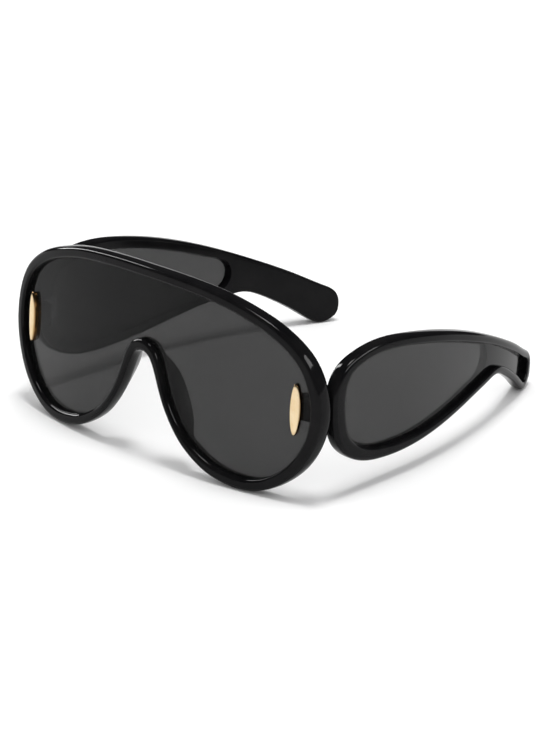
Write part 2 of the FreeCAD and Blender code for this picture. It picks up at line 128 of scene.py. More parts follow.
# Shader effect in every finish
def makeHandlingMarks():
    # polish that varies a little, with fine rubbing marks
    tree, given, result = newTree(
        "handlingMarks", "ShaderNodeTree",
        [("Patch Scale", "Float"), ("Roughness", "Float"), ("Spread", "Float"),
         ("Mark Scale", "Float")],
        [("Roughness", "Float"), ("Height", "Float"), ("Patches", "Float")])
    place = put(tree, "ShaderNodeTexCoord").outputs["Object"]
    patches = put(tree, "ShaderNodeTexNoise", {"Vector": place, "Scale": given["Patch Scale"],
                                               "Detail": 3.0, "Roughness": 0.55})
    even = put(tree, "ShaderNodeMapRange", {"Value": patches.outputs["Fac"], "From Min": 0.3,
                                            "From Max": 0.7}).outputs["Result"]
    turned = put(tree, "ShaderNodeMapping", {"Vector": place, "Rotation": (0.4, 0.9, 0.3),
                                             "Scale": (1, 9, 1)})
    marks = put(tree, "ShaderNodeTexNoise", {"Vector": turned.outputs[0],
                                             "Scale": given["Mark Scale"], "Detail": 2.0})
    added = calc(tree, "MULTIPLY", even, given["Spread"])
    tree.links.new(calc(tree, "ADD", given["Roughness"], added), result["Roughness"])
    tree.links.new(marks.outputs["Fac"], result["Height"])
    tree.links.new(even, result["Patches"])
    return tree


handlingMarks = makeHandlingMarks()


def newFinish(name, look):
    mat = bpy.data.materials.new(name)
    mat.use_nodes = True
    tree = mat.node_tree
    shader = tree.nodes["Principled BSDF"]
    marks = put(tree, "ShaderNodeGroup",
                {"Patch Scale": look["patchScale"], "Roughness": look["roughness"],
                 "Spread": look["spread"], "Mark Scale": look["markScale"]},
                node_tree=handlingMarks)
    tone = pickTone(tree, marks.outputs["Patches"], look["dark"], look["light"])
    if "edge" in look:
        # walls painted darker where the mesh says so: painted shade and a painted reflection of the
        # dark lens
        wallShadeMask = put(tree, "ShaderNodeAttribute", attribute_name="edgeTone").outputs["Fac"]
        tone = pickTone(tree, wallShadeMask, tone, look["edge"])
    bump = put(tree, "ShaderNodeBump", {"Height": marks.outputs["Height"],
                                        "Strength": look["bump"], "Distance": look["bumpDepth"]})
    tree.links.new(tone, shader.inputs["Base Color"])
    tree.links.new(marks.outputs["Roughness"], shader.inputs["Roughness"])
    tree.links.new(bump.outputs["Normal"], shader.inputs["Normal"])
    for label, value in look["fixed"].items():
        shader.inputs[label].default_value = value
    return mat


acetateLook = {"dark": (0.0035, 0.0035, 0.004), "light": (0.008, 0.0078, 0.0082),
               "roughness": 0.035, "spread": 0.05, "patchScale": 90.0, "markScale": 700.0,
               "bump": 0.04, "bumpDepth": 0.0001, "fixed": {"Specular IOR Level": 0.1}}
padLook = {**acetateLook, "roughness": 0.16, "spread": 0.1, "fixed": {"Specular IOR Level": 0.35}}
smokeLook = {"dark": (0.006, 0.0062, 0.0062), "light": (0.01, 0.0102, 0.0102),
             "roughness": 0.015, "spread": 0.03, "patchScale": 45.0, "markScale": 400.0,
             "bump": 0.002, "bumpDepth": 0.0001,
             "fixed": {"Specular IOR Level": 0.12, "Alpha": 0.78}}
# the gold's edge colour is painted shade and a painted reflection of the dark lens, used on the
# plate's walls
goldLook = {"dark": (0.86, 0.65, 0.37), "light": (0.95, 0.78, 0.52), "edge": (0.3, 0.16, 0.055),
            "roughness": 0.16, "spread": 0.1, "patchScale": 300.0, "markScale": 1500.0,
            "bump": 0.08, "bumpDepth": 0.00005, "fixed": {"Metallic": 1.0}}
steelLook = {"dark": (0.2, 0.2, 0.21), "light": (0.3, 0.3, 0.31),
             "roughness": 0.24, "spread": 0.14, "patchScale": 500.0, "markScale": 3000.0,
             "bump": 0.15, "bumpDepth": 0.00005, "fixed": {"Metallic": 1.0}}
screwLook = {**steelLook, "roughness": 0.14, "spread": 0.1}
finishes = {"frame_black": newFinish("polishedBlackAcetate", acetateLook),
            "nose_pad": newFinish("nosePadAcetate", padLook),
            "smoke_lens": newFinish("smokeLens", smokeLook),
            "accent_gold": newFinish("paleGoldPlate", goldLook),
            "hinge_steel": newFinish("hingeSteel", steelLook),
            "screw_steel": newFinish("screwSteel", screwLook)}
for part in frame["record"]["subparts"]:
    nodes[part["node"]].material_slots[0].material = finishes[part["material_slot"]]
print("finishes ready:", len(finishes))


# Outlines
def closedSpline(points):
    # smooth loop through points, read at point numbers and at fractions between them
    spots = np.array(points, float)
    count = len(spots)
    gaps = np.linalg.norm(np.roll(spots, -1, 0) - spots, axis=1)
    system = np.zeros((count, count))
    pull = np.zeros((count, 2))
    for i in range(count):
        j = (i + 1) % count
        system[i, i - 1] += gaps[i - 1]
        system[i, i] += 2 * (gaps[i - 1] + gaps[i])
        system[i, j] += gaps[i]
        pull[i] = 6 * ((spots[j] - spots[i]) / gaps[i] - (spots[i] - spots[i - 1]) / gaps[i - 1])
    bend = np.linalg.solve(system, pull)

    def at(numbers):
        numbers = np.asarray(numbers, float)
        i = np.floor(numbers).astype(int) % count
        j = (i + 1) % count
        f = (numbers - np.floor(numbers))[:, None]
        e = 1 - f
        bow = ((e ** 3 - e) * bend[i] + (f ** 3 - f) * bend[j]) * gaps[i][:, None] ** 2 / 6
        return e * spots[i] + f * spots[j] + bow

    return at


def inwardFrom(run, turn):
    # turn is 1 on a loop that runs clockwise and -1 on the other
    run = run / np.linalg.norm(run, axis=1)[:, None]
    return turn * np.column_stack([run[:, 1], -run[:, 0]])


def inwardAt(at, numbers, turn):
    return inwardFrom(at(numbers + meshing["nudge"]) - at(numbers - meshing["nudge"]), turn)


def insetPoints(points, widths, turn):
    inward = inwardAt(closedSpline(points), np.arange(len(points)), turn)
    return np.array(points) + inward * np.array(widths)[:, None]


# Geometry nodes
geometrySocket = [("Geometry", "Geometry")]
bendSockets = [("Radius", "Float"), ("Start", "Float"), ("Limit", "Float"), ("Slope", "Float")]


def makeWrapRound():
    # carries (along, depth, up) round a bend of the given radius, straight before and after it
    tree, given, result = newTree("wrapRound", "GeometryNodeTree",
                                  [("Place", "Vector")] + bendSockets, [("Place", "Vector")])
    along, depth, up = put(tree, "ShaderNodeSeparateXYZ", {0: given["Place"]}).outputs
    radius = calc(tree, "SUBTRACT", given["Radius"], depth)
    past = calc(tree, "SUBTRACT", calc(tree, "ABSOLUTE", along), given["Start"])
    reach = calc(tree, "MULTIPLY", radius, given["Limit"])
    turn = calc(tree, "MINIMUM", calc(tree, "MAXIMUM", past, 0.0), reach)
    beyond = calc(tree, "MAXIMUM", calc(tree, "SUBTRACT", past, reach), 0.0)
    square = calc(tree, "SUBTRACT", calc(tree, "MULTIPLY", radius, radius),
                  calc(tree, "MULTIPLY", turn, turn))
    out = calc(tree, "SUBTRACT", calc(tree, "SQRT", square),
               calc(tree, "MULTIPLY", beyond, given["Slope"]))
    place = put(tree, "ShaderNodeCombineXYZ", {0: along, 1: out, 2: up}).outputs[0]
    tree.links.new(place, result["Place"])
    return tree


wrapRound = makeWrapRound()


def wrapped(tree, given, place):
    bend = {label: given[label] for label, _ in bendSockets}
    node = put(tree, "GeometryNodeGroup", {"Place": place, **bend}, node_tree=wrapRound)
    return node.outputs["Place"]


def named(tree, label, sort):
    return put(tree, "GeometryNodeInputNamedAttribute", {"Name": label}, data_type=sort).outputs[0]


def makeSweptRim():
    # carries a section along an outline; a section's point is a share of the rim's width, a step
    # and a depth
    tree, given, result = newTree(
        "sweptRim", "GeometryNodeTree",
        geometrySocket + [("Section", "Object"), ("Outline Points", "Int"),
                          ("Section Points", "Int")] + bendSockets, geometrySocket)
    outline, outlinePoints = given["Geometry"], given["Outline Points"]
    section = put(tree, "GeometryNodeObjectInfo", {"Object": given["Section"]}).outputs["Geometry"]
    sheet = put(tree, "GeometryNodeMeshGrid",
                {"Size X": 1.0, "Size Y": 1.0, "Vertices X": calc(tree, "ADD", outlinePoints, 1.0),
                 "Vertices Y": given["Section Points"]}).outputs["Mesh"]
    position = put(tree, "GeometryNodeInputPosition").outputs[0]
    gridX, gridY, _ = put(tree, "ShaderNodeSeparateXYZ", {0: position}).outputs

    def gridNumber(place, last):
        return calc(tree, "ROUND", calc(tree, "MULTIPLY", calc(tree, "ADD", place, 0.5), last))

    def read(geometry, value, number, sort):
        return put(tree, "GeometryNodeSampleIndex", {"Geometry": geometry, "Value": value,
                                                     "Index": number}, data_type=sort).outputs[0]

    around = calc(tree, "MODULO", gridNumber(gridX, outlinePoints), outlinePoints)
    along = gridNumber(gridY, calc(tree, "SUBTRACT", given["Section Points"], 1.0))
    spot = read(outline, position, around, "FLOAT_VECTOR")
    inward = read(outline, named(tree, "inward", "FLOAT_VECTOR"), around, "FLOAT_VECTOR")
    width = read(outline, named(tree, "width", "FLOAT"), around, "FLOAT")
    profile = read(section, position, along, "FLOAT_VECTOR")
    share, step, depth = put(tree, "ShaderNodeSeparateXYZ", {0: profile}).outputs
    across = calc(tree, "ADD", calc(tree, "MULTIPLY", share, width), step)
    moved = put(tree, "ShaderNodeVectorMath", {0: inward, "Scale": across}, operation="SCALE")
    flat = put(tree, "ShaderNodeVectorMath", {0: spot, 1: moved.outputs[0]}, operation="ADD")
    flatX, _, flatZ = put(tree, "ShaderNodeSeparateXYZ", {0: flat.outputs[0]}).outputs
    place = put(tree, "ShaderNodeCombineXYZ", {0: flatX, 1: depth, 2: flatZ}).outputs[0]
    swept = put(tree, "GeometryNodeSetPosition", {"Geometry": sheet,
                                                  "Position": wrapped(tree, given, place)})
    closed = put(tree, "GeometryNodeMergeByDistance", {"Geometry": swept.outputs[0],
                                                       "Distance": meshing["seam"]})
    tree.links.new(closed.outputs[0], result["Geometry"])
    return tree


def makeBentSheet():
    # a sheet drawn flat as (along, depth, up), carried round the bend
    tree, given, result = newTree("bentSheet", "GeometryNodeTree", geometrySocket + bendSockets,
                                  geometrySocket)
    position = put(tree, "GeometryNodeInputPosition").outputs[0]
    bent = put(tree, "GeometryNodeSetPosition", {"Geometry": given["Geometry"],
                                                 "Position": wrapped(tree, given, position)})
    tree.links.new(bent.outputs[0], result["Geometry"])
    return tree


def makeScrewRow():
    # one screw on every point, facing the way the point says, each with its slot at its own angle
    tree, given, result = newTree("screwRow", "GeometryNodeTree",
                                  geometrySocket + [("Screw", "Object"), ("Seed", "Int")],
                                  geometrySocket)
    points = put(tree, "GeometryNodeMeshToPoints", {"Mesh": given["Geometry"]}).outputs[0]
    screw = put(tree, "GeometryNodeObjectInfo", {"Object": given["Screw"]}).outputs["Geometry"]
    facing = named(tree, "facing", "FLOAT_VECTOR")
    aim = put(tree, "FunctionNodeAlignRotationToVector", {"Vector": facing}, axis="Z").outputs[0]
    # input 3 and output 1 are the highest value and the result as floats
    spin = put(tree, "FunctionNodeRandomValue", {3: math.pi, "Seed": given["Seed"]},
               data_type="FLOAT").outputs[1]
    twist = put(tree, "FunctionNodeAxisAngleToRotation", {"Axis": (0, 0, 1), "Angle": spin})
    turned = put(tree, "FunctionNodeRotateRotation", {0: aim, 1: twist.outputs[0]},
                 rotation_space="LOCAL").outputs[0]
    placed = put(tree, "GeometryNodeInstanceOnPoints", {"Points": points, "Instance": screw,
                                                        "Rotation": turned})
    real = put(tree, "GeometryNodeRealizeInstances", {"Geometry": placed.outputs[0]})
    tree.links.new(real.outputs[0], result["Geometry"])
    return tree


sweptRim = makeSweptRim()
bentSheet = makeBentSheet()
screwRow = makeScrewRow()


def runNodes(mesh, tree, values):
    obj = linkObject(bpy.data.objects.new(mesh.name + "Nodes", mesh))
    shape = obj.modifiers.new("shape", "NODES")
    shape.node_group = tree
    for item in tree.interface.items_tree:
        if item.in_out == "INPUT" and item.name in values:
            shape[item.identifier] = values[item.name]
    made = shapedMesh(obj)
    bpy.data.objects.remove(obj)
    return made


# Meshes
def sweep(name, loop, inward, width, section, bends):
    count = len(loop)
    outline = newMesh(name, [(x, 0, z) for x, z in loop],
                      [(i, (i + 1) % count) for i in range(count)])
    addAttribute(outline, "inward", "FLOAT_VECTOR", [(x, 0, z) for x, z in inward])
    addAttribute(outline, "width", "FLOAT", width)
    profile = newMesh(name + "Section", section)
    holder = linkObject(bpy.data.objects.new(name + "Section", profile))
    sizes = {"Section": holder, "Outline Points": count, "Section Points": len(section)}
    made = runNodes(outline, sweptRim, {**sizes, **bends})
    bpy.data.objects.remove(holder)
    return made


def sweepBetween(name, outerAt, innerAt, numbers, section, bends):
    outer = outerAt(numbers)
    across = innerAt(numbers) - outer
    width = np.linalg.norm(across, axis=1)
    return sweep(name, outer, across / width[:, None], width, section, bends)


def gridFaces(columns, rows, start=0):
    corners = [start + i * rows + j for i in range(columns - 1) for j in range(rows - 1)]
    return [(k, k + rows, k + rows + 1, k + 1) for k in corners]


def columnSheet(name, loop, columns, rows, front, back):
    # a lens blank: columns between the loop's lower and upper edge, on two depths, closed round
    # its edge
    low, high = np.argmin(loop[:, 0]), np.argmax(loop[:, 0])
    chains = []
    for first, last in ((low, high), (high, low)):
        chain = np.roll(loop, -first, 0)[:(last - first) % len(loop) + 1]
        chains.append(chain[np.argsort(chain[:, 0])])
    chains.sort(key=lambda chain: chain[:, 1].mean())
    middle, reach = (loop[low, 0] + loop[high, 0]) / 2, (loop[high, 0] - loop[low, 0]) / 2
    turns = np.linspace(meshing["endTurn"], math.pi - meshing["endTurn"], columns)
    along = middle - reach * np.cos(turns)
    lower, upper = [np.interp(along, chain[:, 0], chain[:, 1]) for chain in chains]
    verts = []
    for depth in (front, back):
        for x, bottom, top in zip(along, lower, upper):
            verts += [(x, depth, z) for z in np.linspace(bottom, top, rows)]
    layer = columns * rows
    faces = gridFaces(columns, rows) + gridFaces(columns, rows, layer)
    edge = [i * rows for i in range(columns)] + [(columns - 1) * rows + j for j in range(1, rows)]
    edge += [i * rows + rows - 1 for i in range(columns - 2, -1, -1)] + list(range(rows - 2, 0, -1))
    faces += [(a, b, b + layer, a + layer) for a, b in zip(edge, edge[1:] + edge[:1])]
    return newMesh(name, verts, faces=faces)


def outerSide(depth, frontRound, backRound, crown):
    # a rim's outer wall as (step, depth): a round edge, a slightly crowned wall, a round edge
    half = depth / 2
    frontStep = crown - math.sqrt((crown - frontRound) ** 2 - (half - frontRound) ** 2)
    backStep = crown - math.sqrt((crown - backRound) ** 2 - (half - backRound) ** 2)
    frontTurn = math.atan2(crown - frontStep, half - frontRound)
    backTurn = math.atan2(crown - backStep, backRound - half)
    arcs = [(frontStep, frontRound, frontRound, 0, frontTurn, meshing["edgeSteps"]),
            (crown, half, crown, frontTurn, backTurn, meshing["wallSteps"]),
            (backStep, depth - backRound, backRound, backTurn, math.pi, meshing["backSteps"])]
    points = []
    for step, level, radius, first, last, count in arcs:
        for turn in np.linspace(first, last, count)[1 if points else 0:]:
            points.append((step - radius * math.sin(turn), level - radius * math.cos(turn)))
    return points


def innerArc(depth, radius, first, last, count):
    # a round edge on the inner wall, between two turns measured from the front
    return [(1, -radius + radius * math.sin(turn), depth - radius * math.cos(turn))
            for turn in np.linspace(first, last, count)]


def turnsOf(sides):
    return [2 * math.pi * k / sides for k in range(sides)]


def closeRings(bm, rings):
    # a skin over rings with equal numbers of points, closed at both ends
    for ring, following in zip(rings, rings[1:]):
        for k in range(len(ring)):
            bm.faces.new((ring[k - 1], ring[k], following[k], following[k - 1]))
    bm.faces.new(rings[0])
    bm.faces.new(rings[-1])


def joined(meshes, weld=meshing["weld"]):
    bm = bmesh.new()
    for mesh in meshes:
        bm.from_mesh(mesh)
    bmesh.ops.remove_doubles(bm, verts=bm.verts, dist=weld)
    return bm


def finishPiece(name, bm, place, body, slotName, replaced):
    bmesh.ops.transform(bm, matrix=place, verts=bm.verts)
    bmesh.ops.recalc_face_normals(bm, faces=bm.faces)
    mesh = meshFrom(name, bm)
    mesh.materials.append(finishes[slotName])
    mesh.polygons.foreach_set("use_smooth", [True] * len(mesh.polygons))
    mesh.set_sharp_from_angle(angle=math.radians(meshing["sharpAngle"]))
    obj = linkObject(bpy.data.objects.new(name, mesh))
    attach(obj, body)
    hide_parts(replaced)


# Front: rim with its lens groove, lugs and the one-piece lens
shield = {
    "width": 150.0, "height": 68.7, "wrapRadius": 266.0,
    "rimWidth": 4.2, "noseRimWidth": 3.0, "rimDepth": 5.6, "crown": 10.0,
    "frontRound": 1.35, "backRound": 0.65, "stepsPerPoint": 8,
    "innerRound": 1.35, "innerSteps": 13, "innerBackRound": 0.7, "innerBackSteps": 6,
    "lensRecess": 2.3, "lensThickness": 1.4, "lensBite": 1.2, "grooveGap": 0.05,
    "lensStepsPerPoint": 4, "lensColumns": 121, "lensRows": 41,
    # half of the outline from the brow to the nose arch: shares of half the width and of the
    # height, then share of the way from the nose's rim width to the full one
    "outline": [
        (0, 1, 1), (0.151, 0.998, 1), (0.291, 0.990, 1), (0.411, 0.977, 1), (0.52, 0.956, 1),
        (0.629, 0.924, 1), (0.735, 0.881, 1), (0.833, 0.820, 1), (0.911, 0.745, 1),
        (0.963, 0.654, 1), (0.991, 0.556, 1), (1, 0.456, 1), (0.985, 0.341, 1),
        (0.944, 0.231, 1), (0.884, 0.141, 1), (0.801, 0.066, 1), (0.707, 0.017, 1),
        (0.605, 0, 1), (0.509, 0.009, 0.95), (0.419, 0.035, 0.8), (0.333, 0.084, 0.5),
        (0.261, 0.144, 0.2), (0.195, 0.227, 0), (0.139, 0.325, 0), (0.101, 0.419, 0.1),
        (0.069, 0.499, 0.4), (0.036, 0.544, 0.8), (0, 0.555, 1)],
}
lugs = {"length": 12.4, "height": 8.6, "level": 32.7, "back": 16.635, "buried": 2.1, "slices": 8,
        "round": 0.45, "roundSteps": 3, "cornerTurn": 1.0}  # edges that turn by more are rounded

halfWidth = shield["width"] / 2
grooveFront = shield["lensRecess"] - shield["grooveGap"]
grooveBack = shield["lensRecess"] + shield["lensThickness"] + shield["grooveGap"]
# from the bend's own axes to the drawing's, where the front's middle is at zero and faces -Y
frontPlain = Matrix(((1, 0, 0, 0), (0, -1, 0, shield["wrapRadius"]), (0, 0, 1, 0), (0, 0, 0, 1)))
frontBends = {"Radius": shield["wrapRadius"], "Start": 0.0, "Limit": 1.0, "Slope": 0.0}
halfLoop = [(halfWidth * x, shield["height"] * z) for x, z, _ in shield["outline"]]
frontLoop = halfLoop + [(-x, z) for x, z in halfLoop[-2:0:-1]]
halfRim = [shield["noseRimWidth"] + (shield["rimWidth"] - shield["noseRimWidth"]) * share
           for _, _, share in shield["outline"]]
frontRims = np.array(halfRim + halfRim[-2:0:-1])
frontAt = closedSpline(frontLoop)


def rimSection():
    depth, inner, innerBack = shield["rimDepth"], shield["innerRound"], shield["innerBackRound"]
    bite = shield["lensBite"] + shield["grooveGap"]
    section = innerArc(depth - innerBack, innerBack, math.pi, math.pi / 2, shield["innerBackSteps"])
    section += [(1, 0, grooveBack), (1, -bite, grooveBack),
                (1, -bite, grooveFront), (1, 0, grooveFront)]
    section += innerArc(inner, inner, math.pi / 2, 0, shield["innerSteps"])
    wall = outerSide(depth, shield["frontRound"], shield["backRound"], shield["crown"])
    section += [(0, *point) for point in wall]
    return section + section[:1]


def addLug(bm, side):
    # a block behind the lens that follows its back and ends flat for the hinge
    bendBack = shield["wrapRadius"] - grooveBack
    low, high = lugs["level"] - lugs["height"] / 2, lugs["level"] + lugs["height"] / 2
    block = bmesh.new()
    rings = []
    for inset in np.linspace(lugs["length"], lugs["buried"], lugs["slices"] + 1):
        x = halfWidth - inset
        front = shield["wrapRadius"] - math.sqrt(bendBack ** 2 - x ** 2)
        corners = ((front, low), (lugs["back"], low), (lugs["back"], high), (front, high))
        rings.append([block.verts.new((side * x, y, z)) for y, z in corners])
    closeRings(block, rings)
    bmesh.ops.recalc_face_normals(block, faces=block.faces)
    corners = [edge for edge in block.edges if edge.calc_face_angle() > lugs["cornerTurn"]]
    bmesh.ops.bevel(block, geom=corners, offset=lugs["round"], segments=lugs["roundSteps"],
                    affect="EDGES", profile=0.5)
    bm.from_mesh(meshFrom("lug", block))


def makeFrontRim():
    numbers = np.arange(0, len(frontLoop), 1 / shield["stepsPerPoint"])
    innerAt = closedSpline(insetPoints(frontLoop, frontRims, 1))
    rim = sweepBetween("frontRim", frontAt, innerAt, numbers, rimSection(), frontBends)
    rim.transform(frontPlain)
    bm = joined([rim])
    for side in (1, -1):
        addLug(bm, side)
    finishPiece("frontRim", bm, leanBack, "front", "frame_black", "front_frame")


def makeShieldLens():
    numbers = np.arange(0, len(frontLoop), 1 / shield["lensStepsPerPoint"])
    loop = closedSpline(insetPoints(frontLoop, frontRims - shield["lensBite"], 1))(numbers)
    blank = columnSheet("shieldGlass", loop, shield["lensColumns"], shield["lensRows"],
                        shield["lensRecess"], shield["lensRecess"] + shield["lensThickness"])
    bm = joined([runNodes(blank, bentSheet, frontBends)])
    finishPiece("shieldGlass", bm, leanBack @ frontPlain, "front", "smoke_lens", "shield_lens")


# Nose pads: fins that grow out of the rim's back beside the nose
pads = {"root": 1.5, "half": 1.2, "buried": 0.4, "steps": 24, "around": 21,
        # number of the outline's point, step away from the nose at the tip, reach behind the rim
        "tips": [(26.0, 0.2, 0.4), (25.6, 0.5, 1.0), (25.2, 0.9, 1.9), (24.8, 1.3, 3.1),
                 (24.4, 1.7, 4.1), (24, 2.1, 4.6), (23.4, 2.6, 4.6), (22.8, 3.0, 4.2),
                 (22.3, 3.1, 3.6), (21.8, 2.7, 2.6), (21.4, 2.0, 1.5), (21.1, 1.3, 0.5)]}


def makeNosePad(side, place):
    tips = np.array(pads["tips"])
    spread = np.linspace(0, len(tips) - 1, pads["steps"])
    numbers, shift, reach = [np.interp(spread, np.arange(len(tips)), row) for row in tips.T]
    verts = []
    for spot, aim, step, back in zip(frontAt(numbers), inwardAt(frontAt, numbers, 1), shift, reach):
        for turn in np.linspace(0, math.pi, pads["around"]):
            out = math.sin(turn)
            across = (pads["root"] - pads["half"] * math.cos(turn)
                      + (step - pads["root"] + pads["half"]) * out)
            depth = shield["rimDepth"] - pads["buried"] + (back + pads["buried"]) * out
            verts.append((spot[0] + aim[0] * across, depth, spot[1] + aim[1] * across))
    rows, columns = pads["around"], pads["steps"]
    faces = gridFaces(columns, rows)
    faces += [tuple(range(rows)), tuple(range((columns - 1) * rows, columns * rows))]
    faces += [(k, k + rows, k + 2 * rows - 1, k + rows - 1)
              for k in range(0, (columns - 1) * rows, rows)]
    bm = joined([runNodes(newMesh("noseFin", verts, faces=faces), bentSheet, frontBends)])
    finishPiece(side + "NoseFin", bm, place @ frontPlain, "front", "nose_pad", side + "_nose_pad")


# Accent plates: crowned ovals whose walls are painted darker, as painted shade and a painted
# reflection of the dark lens
accent = {"across": 64.7, "level": 32.7, "height": 18.2, "width": 4.1, "sides": 64,
          # millimetres lost from the half axes, height off the lens, how much painted shade and
          # lens reflection the ring gets
          "rings": [(0, 0, 1), (0, 1.1, 1), (0.2, 1.4, 0.75), (0.42, 1.6, 0.1), (0.9, 1.72, 0),
                    (1.5, 1.8, 0)]}


def makeAccent(side, place):
    bendFace = shield["wrapRadius"] - shield["lensRecess"]
    depth = shield["wrapRadius"] - math.sqrt(bendFace ** 2 - accent["across"] ** 2)
    turn = math.asin(accent["across"] / shield["wrapRadius"])
    onLens = (Matrix.Translation((accent["across"], depth, accent["level"]))
              @ Matrix.Rotation(turn, 4, "Z"))
    bm = bmesh.new()
    # each point carries how much painted shade and painted lens reflection it gets
    tone = bm.verts.layers.float.new("edgeTone")
    rings = []
    for lost, rise, dark in accent["rings"]:
        wide, high = accent["width"] / 2 - lost, accent["height"] / 2 - lost
        rings.append([bm.verts.new((wide * math.cos(angle), -rise, high * math.sin(angle)))
                      for angle in turnsOf(accent["sides"])])
        for vert in rings[-1]:
            vert[tone] = dark
    closeRings(bm, rings)
    finishPiece(side + "AccentOval", bm, place @ onLens, "front", "accent_gold",
                side + "_accent_plate")


makeFrontRim()
makeShieldLens()
for side, place in bothSides:
    makeNosePad(side, place)
    makeAccent(side, place)
print("front made")


# Temples: rim, recess, window for the side lens and drooping tip
temple = {
    "start": 17.235, "lift": 9.7, "length": 132.7, "height": 43.5, "face": 75.5, "thickness": 5.4,
    "straight": 30.2, "bendRadius": 219.0, "bendAngle": 24.0,
    "slimRim": 3.0, "broadRim": 6.2, "outerRound": 1.6, "innerRound": 1.1, "crown": 14.0,
    "recess": 2.2, "edgeShare": 0.68, "edgeDepth": 0.95, "edgeSteps": 9,
    "seatStep": 0.25, "seatDepth": 3.0, "windowStep": 0.8, "flareDepth": 3.15,
    "lensGap": 0.3, "lensFront": 2.2, "lensBack": 2.95, "lensColumns": 91, "lensRows": 31,
    "stepsPerPoint": 8, "tipSteps": 40, "endSteps": 16,
    # side view: shares of length and height, share of the way from the slim rim to the broad one
    "blade": [
        (0.623, 0.763, 0.1), (0.521, 0.857, 0.2), (0.416, 0.931, 0.25), (0.326, 0.975, 0.25),
        (0.243, 1, 0.25), (0.159, 0.993, 0.25), (0.089, 0.943, 0.25), (0.039, 0.867, 0.45),
        (0.011, 0.756, 0.8), (0, 0.568, 1), (0.007, 0.395, 1), (0.028, 0.237, 0.9),
        (0.070, 0.120, 0.75), (0.129, 0.051, 0.6), (0.197, 0.032, 0.45), (0.281, 0.046, 0.3),
        (0.371, 0.090, 0.15), (0.462, 0.156, 0.05), (0.543, 0.223, 0), (0.609, 0.276, 0)],
    "tip": [
        (0.668, 0.315, 0), (0.717, 0.336, 0), (0.766, 0.297, 0), (0.818, 0.221, 0),
        (0.874, 0.124, 0), (0.914, 0.044, 0), (0.949, 0, 0.1), (0.977, 0.030, 0.3),
        (0.994, 0.083, 0.4), (0.9985, 0.150, 0.4), (0.9965, 0.222, 0.25), (0.985, 0.287, 0.1),
        (0.954, 0.344, 0), (0.874, 0.462, 0), (0.784, 0.580, 0), (0.681, 0.701, 0)],
    "lensEnd": [(0.653, 0.395), (0.674, 0.522), (0.653, 0.648)],
    "tipLow": 27, "tipHigh": 31,  # numbers of the points where the tip's end begins and ends
}


def templeSpots(shares):
    return [(temple["start"] + temple["length"] * row[0],
             temple["lift"] + temple["height"] * row[1]) for row in shares]


bendTurn = math.radians(temple["bendAngle"])
templeBends = {"Radius": temple["bendRadius"], "Start": temple["start"] + temple["straight"],
               "Limit": math.sin(bendTurn), "Slope": math.tan(bendTurn)}
# from the bend's own axes to the drawing's, where the temple runs along +Y
templePlain = Matrix(((0, 1, 0, temple["face"] - temple["bendRadius"]), (1, 0, 0, 0), (0, 0, 1, 0),
                      (0, 0, 0, 1)))
bladeCount = len(temple["blade"])
templeShares = temple["blade"] + temple["tip"]
templeLoop = templeSpots(templeShares)
templeRims = [temple["slimRim"] + (temple["broadRim"] - temple["slimRim"]) * row[2]
              for row in templeShares]
recessPoints = insetPoints(templeLoop, templeRims, -1)
recessAt = closedSpline(recessPoints)
lensEndAt = closedSpline(list(recessPoints[:bladeCount]) + templeSpots(temple["lensEnd"]))
# point numbers along the blade, the tip's lower side, its end, its upper side and the lens's end
lastBlade, lensTurn = bladeCount - 1, bladeCount + len(temple["lensEnd"])
bladeNumbers = np.linspace(0, lastBlade, lastBlade * temple["stepsPerPoint"] + 1)
lowNumbers = np.linspace(lastBlade, temple["tipLow"], temple["tipSteps"] + 1)
capNumbers = np.linspace(temple["tipLow"], temple["tipHigh"], temple["endSteps"] + 1)
highNumbers = np.linspace(temple["tipHigh"], len(templeLoop), temple["tipSteps"] + 1)
lensEndNumbers = np.linspace(lastBlade, lensTurn, temple["endSteps"] + 1)
windowPath = np.vstack([recessAt(bladeNumbers), lensEndAt(lensEndNumbers[1:-1])])
windowInward = inwardFrom(np.roll(windowPath, -1, 0) - np.roll(windowPath, 1, 0), -1)


def templeSection():
    edge, edgeDepth = temple["edgeShare"], temple["edgeDepth"]
    section = [(1, 0, temple["recess"]), (1, 0, (temple["recess"] + edgeDepth) / 2)]
    section += [(edge + (1 - edge) * math.cos(turn), 0, edgeDepth * (1 - math.sin(turn)))
                for turn in np.linspace(0, math.pi / 2, temple["edgeSteps"])]
    wall = outerSide(temple["thickness"], temple["outerRound"], temple["innerRound"],
                     temple["crown"])
    section += [(0, *point) for point in wall]
    return section + [(1, 0, temple["thickness"])]


def windowSection():
    seat, window = temple["seatStep"], temple["windowStep"]
    return [(0, 0, temple["recess"]), (0, seat, temple["recess"]), (0, seat, temple["seatDepth"]),
            (0, window, temple["seatDepth"]), (0, window, temple["flareDepth"]),
            (0, 0, temple["thickness"])]


def tipPlate(depth):
    # the solid end behind the side lens, filled between its four edges
    left, right = lensEndAt(lensEndNumbers), recessAt(capNumbers)
    low, high = recessAt(lowNumbers), recessAt(highNumbers[::-1])
    verts = []
    for i, a in enumerate(np.linspace(0, 1, len(low))):
        for j, b in enumerate(np.linspace(0, 1, len(left))):
            corners = ((1 - a) * ((1 - b) * left[0] + b * left[-1])
                       + a * ((1 - b) * right[0] + b * right[-1]))
            spot = (1 - a) * left[j] + a * right[j] + (1 - b) * low[i] + b * high[i] - corners
            verts.append((spot[0], depth, spot[1]))
    return newMesh("tipPlate", verts, faces=gridFaces(len(low), len(left)))


